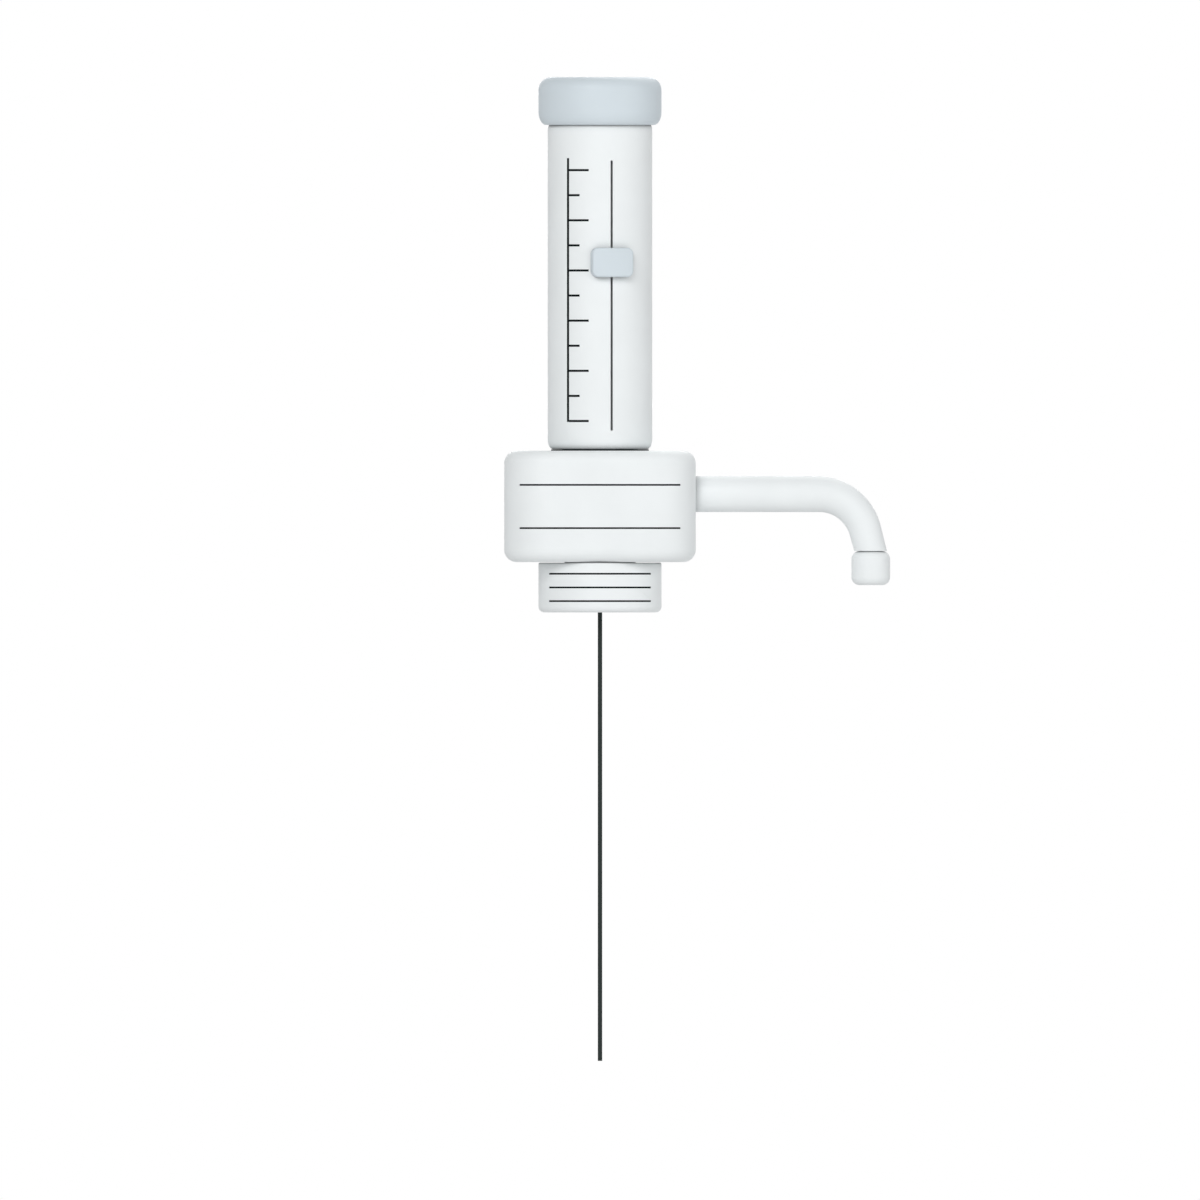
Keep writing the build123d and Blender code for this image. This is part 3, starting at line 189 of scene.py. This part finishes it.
class Surface:
    """A Principled material in the making, with textures placed in the object's own coordinates."""

    def __init__(self, name, color, roughness, **settings):
        self.material = bpy.data.materials.new(name)
        self.material.use_nodes = True
        self.tree = self.material.node_tree
        self.shader = self.tree.nodes["Principled BSDF"]
        self.color = color
        self.shader.inputs["Base Color"].default_value = color
        self.shader.inputs["Roughness"].default_value = roughness
        for socket, value in settings.items():
            self.shader.inputs[socket.replace("_", " ")].default_value = value
        self.place = self.tree.nodes.new("ShaderNodeTexCoord").outputs["Object"]
        self.height = None

    def noise(self, size, detail, stretch):
        """Noise whose features are about size metres across, drawn out along an axis by stretch."""
        mapping = self.tree.nodes.new("ShaderNodeMapping")
        mapping.inputs["Scale"].default_value = [1 / part for part in stretch]
        self.tree.links.new(self.place, mapping.inputs["Vector"])
        noise = self.tree.nodes.new("ShaderNodeTexNoise")
        noise.inputs["Scale"].default_value = 1 / size
        noise.inputs["Detail"].default_value = detail
        self.tree.links.new(mapping.outputs["Vector"], noise.inputs["Vector"])
        return noise.outputs["Fac"]

    def spread(self, value, from_low, from_high, low, high):
        """A value between from_low and from_high, moved to run from low to high."""
        spread = self.tree.nodes.new("ShaderNodeMapRange")
        spread.inputs["From Min"].default_value = from_low
        spread.inputs["From Max"].default_value = from_high
        spread.inputs["To Min"].default_value = low
        spread.inputs["To Max"].default_value = high
        self.tree.links.new(value, spread.inputs["Value"])
        return spread.outputs["Result"]

    def spread_noise(self, size, low, high, stretch=(1, 1, 1)):
        """Noise that wanders between low and high."""
        return self.spread(self.noise(size, 3.0, stretch), NOISE_LOW, NOISE_HIGH, low, high)

    def mottle(self, size, amount):
        """Slow, slight changes of the base colour, as in a moulded or drawn material."""
        self.tint(self.spread_noise(size, 0.0, 1.0), shade(self.color, 1 - amount))

    def tint(self, factor, color):
        """Mixes one more colour into the base colour."""
        mix = self.tree.nodes.new("ShaderNodeMix")
        mix.data_type = "RGBA"
        base = self.shader.inputs["Base Color"]
        if base.is_linked:
            self.tree.links.new(base.links[0].from_socket, mix.inputs["A"])
        else:
            mix.inputs["A"].default_value = self.color
        mix.inputs["B"].default_value = color
        self.tree.links.new(factor, mix.inputs["Factor"])
        self.tree.links.new(mix.outputs["Result"], base)

    def painted_crevice_shade(self, distance, amount):
        """Paints shade into the colour: darkens it a little where surfaces meet and in recesses, from
        ambient occlusion.
        """
        occlusion = self.tree.nodes.new("ShaderNodeAmbientOcclusion")
        occlusion.samples = PAINTED_SHADE_SAMPLES
        occlusion.inputs["Distance"].default_value = distance
        # share of painted shade, rising as less open sky is seen
        painted_shade_share = self.spread(occlusion.outputs["AO"], PAINTED_SHADE_DEEP, PAINTED_SHADE_OPEN, amount, 0.0)
        self.tint(painted_shade_share, shade(self.color, PAINTED_SHADE_DARKNESS))

    def uneven_gloss(self, size, low, high, stretch=(1, 1, 1)):
        """Roughness that wanders between low and high."""
        gloss = self.spread_noise(size, low, high, stretch)
        self.tree.links.new(gloss, self.shader.inputs["Roughness"])

    def relief(self, size, height, detail=2.0, stretch=(1, 1, 1)):
        """Bumps about size across and height high; several reliefs add up."""
        bump = self.tree.nodes.new("ShaderNodeBump")
        bump.inputs["Strength"].default_value = 1.0
        bump.inputs["Distance"].default_value = height
        self.tree.links.new(self.noise(size, detail, stretch), bump.inputs["Height"])
        if self.height is not None:
            self.tree.links.new(self.height, bump.inputs["Normal"])
        self.height = bump.outputs["Normal"]
        self.tree.links.new(self.height, self.shader.inputs["Normal"])

    def whiten_to_the_eye(self, amount):
        """Shows the surface part of the way to plain white; its light and shadow stay."""
        nodes, links = self.tree.nodes, self.tree.links
        white = nodes.new("ShaderNodeEmission")
        share = nodes.new("ShaderNodeMath")
        share.operation = "MULTIPLY"
        share.inputs[1].default_value = amount
        links.new(seen_by_eye(self.tree), share.inputs[0])
        mix = nodes.new("ShaderNodeMixShader")
        links.new(share.outputs[0], mix.inputs[0])
        links.new(self.shader.outputs[0], mix.inputs[1])
        links.new(white.outputs[0], mix.inputs[2])
        links.new(mix.outputs[0], nodes["Material Output"].inputs["Surface"])


def moulded_plastic(name, color, roughness):
    """Injection-moulded plastic: a fine spark-eroded grain over a faint waviness."""
    plastic = Surface(name, color, roughness, Specular_IOR_Level=0.3)
    plastic.mottle(size=22 * MM, amount=0.035)
    # painted shade where surfaces meet and in recesses
    plastic.painted_crevice_shade(distance=3.5 * MM, amount=0.4)
    plastic.uneven_gloss(size=7 * MM, low=roughness - 0.05, high=roughness + 0.08)
    plastic.relief(size=9 * MM, height=0.035 * MM)
    plastic.relief(size=0.32 * MM, height=0.012 * MM, detail=3.0)
    return plastic.material


def waxy_plastic(name, color, roughness):
    """Fluoroplastic turned from bar: a soft glow under a fine lathe finish."""
    plastic = Surface(name, color, roughness, Subsurface_Weight=0.15, Subsurface_Scale=1.5 * MM)
    plastic.mottle(size=9 * MM, amount=0.04)
    plastic.uneven_gloss(size=4 * MM, low=roughness - 0.04, high=roughness + 0.08)
    plastic.relief(size=0.25 * MM, height=0.008 * MM, stretch=(6, 6, 1))
    return plastic.material


def drawn_tube(name, color):
    """Extruded dark tube: fine die lines along its length."""
    tube = Surface(name, color, roughness=0.45, Specular_IOR_Level=0.3)
    tube.mottle(size=14 * MM, amount=0.15)
    tube.uneven_gloss(size=5 * MM, low=0.4, high=0.52, stretch=(1, 1, 8))
    tube.relief(size=0.3 * MM, height=0.006 * MM, stretch=(1, 1, 40))
    return tube.material


def moulded_rubber(name, color):
    """Matt elastomer with a dry bloom."""
    rubber = Surface(name, color, roughness=0.65, Specular_IOR_Level=0.25)
    rubber.mottle(size=5 * MM, amount=0.2)
    rubber.uneven_gloss(size=3 * MM, low=0.6, high=0.75)
    rubber.relief(size=0.2 * MM, height=0.01 * MM, detail=3.0)
    return rubber.material


def printed_ink(name, color):
    """Matt ink, printed on or wiped into a groove: nearly even, with a slightly broken gloss."""
    ink = Surface(name, color, roughness=0.6, Specular_IOR_Level=0.1)
    ink.mottle(size=1.5 * MM, amount=0.12)
    ink.uneven_gloss(size=0.8 * MM, low=0.55, high=0.68)
    ink.relief(size=0.15 * MM, height=0.004 * MM)
    return ink.material


def turned_steel(name, color):
    """Stainless steel with the marks of turning and tumbling."""
    steel = Surface(name, color, roughness=0.3, Metallic=1.0)
    steel.mottle(size=2 * MM, amount=0.12)
    steel.uneven_gloss(size=1.2 * MM, low=0.22, high=0.42)
    steel.relief(size=0.12 * MM, height=0.004 * MM, detail=3.0, stretch=(5, 5, 1))
    return steel.material


def clear_glass(name, color):
    """Borosilicate tube with a faint waviness from drawing."""
    glass = Surface(name, color, roughness=0.02, Transmission_Weight=1.0, IOR=1.47)
    glass.uneven_gloss(size=12 * MM, low=0.01, high=0.04, stretch=(1, 1, 6))
    glass.relief(size=6 * MM, height=0.01 * MM, detail=1.0, stretch=(1, 1, 6))
    return glass.material


def lapped_ceramic(name, color):
    """Ceramic valve ball, lapped smooth, with a faint mottle and a clear sheen."""
    ceramic = Surface(name, color, roughness=0.12, Coat_Weight=0.3)
    ceramic.mottle(size=0.8 * MM, amount=0.05)
    ceramic.uneven_gloss(size=1.5 * MM, low=0.08, high=0.18)
    return ceramic.material


def make_materials():
    """One material for each slot of the record, and one for the printed scale and the groove lines."""
    return {
        "pale_housing": moulded_plastic("pale_housing", linear(239, 243, 244), roughness=0.52),
        "blue_grey_plastic": moulded_plastic("blue_grey_plastic", linear(211, 221, 227), roughness=0.5),
        "core_plastic": moulded_plastic("core_plastic", linear(228, 231, 231), roughness=0.46),
        "fluoroplastic": waxy_plastic("fluoroplastic", linear(236, 237, 234), roughness=0.38),
        "dark_tube": drawn_tube("dark_tube", linear(20, 34, 31)),
        "seal_rubber": moulded_rubber("seal_rubber", linear(22, 32, 35)),
        "borosilicate_glass": clear_glass("borosilicate_glass", linear(240, 247, 246)),
        "ceramic": lapped_ceramic("ceramic", linear(238, 235, 228)),
        "steel": turned_steel("steel", linear(200, 202, 204)),
        "print": printed_ink("print", linear(10, 17, 19)),
    }


def dress_cad(materials):
    """Gives each CAD piece the material of its slot."""
    for part in frame["record"]["subparts"]:
        mesh = frame["nodes"][part["node"]].data
        mesh.materials.clear()
        mesh.materials.append(materials[part["material_slot"]])


# ================================================================ pieces
def join_rings(bm, rings):
    """Joins rings of corners, each a list of vertices, into one closed bar with a face over each end."""
    for ring, following in zip(rings, rings[1:]):
        for i in range(len(ring)):
            bm.faces.new((ring[i], ring[i - 1], following[i - 1], following[i]))
    bm.faces.new(rings[0])
    bm.faces.new(reversed(rings[-1]))


def add_strip(bm, outer, inner, low, high):
    """Adds a closed strip between two plan curves, lists of (x, y) with as many points, from low to high."""
    rings = []
    for out_point, in_point in zip(outer, inner):
        corners = ((out_point, low), (out_point, high), (in_point, high), (in_point, low))
        rings.append([bm.verts.new((*point, height)) for point, height in corners])
    join_rings(bm, rings)


def finished_mesh(name, bm):
    """The mesh of a bmesh, which is freed."""
    mesh = bpy.data.meshes.new(name)
    bm.to_mesh(mesh)
    bm.free()
    return mesh


def make_piece(name, bm, material, body):
    """Turns a bmesh into a piece that rides on a body."""
    bmesh.ops.recalc_face_normals(bm, faces=bm.faces)
    mesh = finished_mesh(name, bm)
    mesh.shade_smooth()
    mesh.set_sharp_from_angle(angle=SHARP_ANGLE)
    mesh.materials.append(material)
    piece = add_object(name, mesh)
    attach(piece, body)


def arc(radius, start_x, end_x, side=-1):
    """Points round the Z axis, from start_x to end_x as seen from the front; side 1 is the back."""
    start, end = math.asin(start_x / radius), math.asin(end_x / radius)
    count = max(2, math.ceil((end - start) / ARC_STEP) + 1)
    turns = [start + (end - start) * i / (count - 1) for i in range(count)]
    return [(radius * math.sin(turn), side * radius * math.cos(turn)) for turn in turns]


def make_scale(material):
    """The printed scale: an upright line with a mark for each tenth of the volume, every other one long."""
    sleeve_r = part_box("sleeve")[1].x
    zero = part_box("housing_front")[1].z + SCALE_FOOT + SCALE_STROKE
    outer_r, inner_r = sleeve_r + PRINT_HEIGHT, sleeve_r - PRINT_DEPTH
    bm = bmesh.new()

    def printed(start_x, end_x, low, high):
        add_strip(bm, arc(outer_r, start_x, end_x), arc(inner_r, start_x, end_x), low, high)

    spine = (SPINE_X - PRINT_WIDTH / 2, SPINE_X + PRINT_WIDTH / 2)
    printed(*spine, zero - SCALE_STROKE - SPINE_UNDER, zero + SPINE_OVER)
    for i in range(SCALE_STEPS + 1):
        height = zero - SCALE_STROKE * i / SCALE_STEPS
        end_x = SHORT_MARK_END_X if i % 2 else LONG_MARK_END_X
        printed(spine[1], end_x, height - PRINT_WIDTH / 2, height + PRINT_WIDTH / 2)
    make_piece("scale_print", bm, material, "plunger")


def block_contour(inset, side):
    """Points along the valve block's front (side -1) or back (side 1), inset below its surface."""
    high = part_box("housing_rear")[1]
    corner_x, corner_y = high.x - BLOCK_CORNER_R, high.y - BLOCK_CORNER_R
    radius = BLOCK_CORNER_R - inset
    turn_end = math.asin((BLOCK_LINE_HALF - corner_x) / radius)
    turns = [turn_end * i / BLOCK_CORNER_STEPS for i in range(BLOCK_CORNER_STEPS + 1)]
    right = [(corner_x + radius * math.sin(t), corner_y + radius * math.cos(t)) for t in turns]
    left = [(-x, y) for x, y in reversed(right)]
    return [(x, side * y) for x, y in left + right]


def add_groove_line(bm, contour, middle):
    """Adds one dark line at a height; contour gives the points along it at a depth below the surface."""
    outer, inner = contour(GROOVE_LINE_TOP), contour(GROOVE_LINE_TOP + GROOVE_LINE_T)
    add_strip(bm, outer, inner, middle - GROOVE_LINE / 2, middle + GROOVE_LINE / 2)


def make_groove_lines(material):
    """Dark lines in the grooves of the valve block and of the collar, front and back."""
    block_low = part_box("housing_front")[0].z
    bm = bmesh.new()
    for side in (-1, 1):
        for rise in (BLOCK_LINE_LOW, BLOCK_LINE_HIGH):
            add_groove_line(bm, lambda inset: block_contour(inset, side), block_low + rise)
    make_piece("block_groove_lines", bm, material, "head")

    collar_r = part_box("collar")[1].x
    ends = (-COLLAR_LINE_HALF, COLLAR_LINE_HALF)
    bm = bmesh.new()
    for side in (-1, 1):
        for i in range(COLLAR_LINES):
            middle = COLLAR_LINE_TOP - i * COLLAR_LINE_PITCH
            add_groove_line(bm, lambda inset: arc(collar_r - inset, *ends, side), middle)
    make_piece("collar_groove_lines", bm, material, "bottle_collar")


def make_bottle_thread(material):
    """The right-hand thread ridge inside the collar, running out to almost nothing at both ends."""
    bm = bmesh.new()
    steps = round(THREAD_TURNS * THREAD_STEPS)
    rings = []
    for i in range(steps + 1):
        turn = 2 * math.pi * i / THREAD_STEPS
        middle = THREAD_START - THREAD_PITCH * i / THREAD_STEPS
        run_out = min(1.0, THREAD_END_SHARE * i / steps, THREAD_END_SHARE * (steps - i) / steps)
        crest_r = COLLAR_BORE_R - THREAD_DEPTH * max(run_out, THREAD_END_DEPTH)
        profile = (
            (COLLAR_BORE_R + THREAD_SINK, THREAD_ROOT / 2),
            (crest_r, THREAD_CREST / 2),
            (crest_r, -THREAD_CREST / 2),
            (COLLAR_BORE_R + THREAD_SINK, -THREAD_ROOT / 2),
        )
        across = Vector((math.cos(turn), -math.sin(turn), 0))
        rings.append([bm.verts.new(across * r + Vector((0, 0, middle + rise))) for r, rise in profile])
    join_rings(bm, rings)
    make_piece("bottle_thread", bm, material, "bottle_collar")


def make_valve_spring():
    """The discharge valve's spring: a copy of the CAD node's mesh that rides on the head, while the CAD node
    is hidden.
    """
    coil = frame["nodes"]["discharge_spring"]
    spring = add_object("valve_spring", coil.data.copy())
    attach(spring, "head")
    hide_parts("discharge_spring")
    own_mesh(spring)


# ================================================================ stage and light
def make_floor():
    """A plain pale floor where the bottle would stand."""
    bm = bmesh.new()
    bmesh.ops.create_grid(bm, x_segments=1, y_segments=1, size=FLOOR_REACH)
    mesh = finished_mesh("floor", bm)
    floor = add_object("floor", mesh)
    floor.location.z = (ORIGIN_PIXEL_Y - FLOOR_PIXEL_Y) * PIXEL
    surface = Surface("floor", linear(*FLOOR_COLOUR), FLOOR_ROUGHNESS)
    surface.mottle(size=0.3, amount=0.01)
    surface.whiten_to_the_eye(FLOOR_WHITE)
    mesh.materials.append(surface.material)


def make_world():
    """An even pale room; the camera, gloss and glass see plain white."""
    world = bpy.data.worlds.new("world")
    bpy.context.scene.world = world
    world.use_nodes = True
    tree = world.node_tree
    room = tree.nodes["Background"]
    room.inputs["Color"].default_value = (1, 1, 1, 1)
    room.inputs["Strength"].default_value = ROOM_LIGHT
    white = tree.nodes.new("ShaderNodeBackground")
    white.inputs["Color"].default_value = (1, 1, 1, 1)
    white.inputs["Strength"].default_value = 1.0
    mix = tree.nodes.new("ShaderNodeMixShader")
    tree.links.new(seen_by_eye(tree), mix.inputs[0])
    tree.links.new(room.outputs[0], mix.inputs[1])
    tree.links.new(white.outputs[0], mix.inputs[2])
    tree.links.new(mix.outputs[0], tree.nodes["World Output"].inputs["Surface"])


def make_lamps():
    """Soft square lamps: a broad key from the front left, a weaker fill from the right, one from above and
    behind, and one straight behind for the back."""
    for name, place, side, power in LAMPS:
        data = bpy.data.lights.new(name, "AREA")
        data.size = side
        data.energy = power
        lamp = add_object(name, data)
        lamp.location = place
        lamp.rotation_euler = (Vector(LAMP_AIM) - Vector(place)).to_track_quat("-Z", "Y").to_euler()


# ================================================================ the scene
make_camera()
materials = make_materials()
dress_cad(materials)
make_scale(materials["print"])
make_groove_lines(materials["print"])
make_bottle_thread(materials["pale_housing"])
make_valve_spring()
make_floor()
make_world()
make_lamps()
bpy.context.scene.view_settings.view_transform = "Standard"
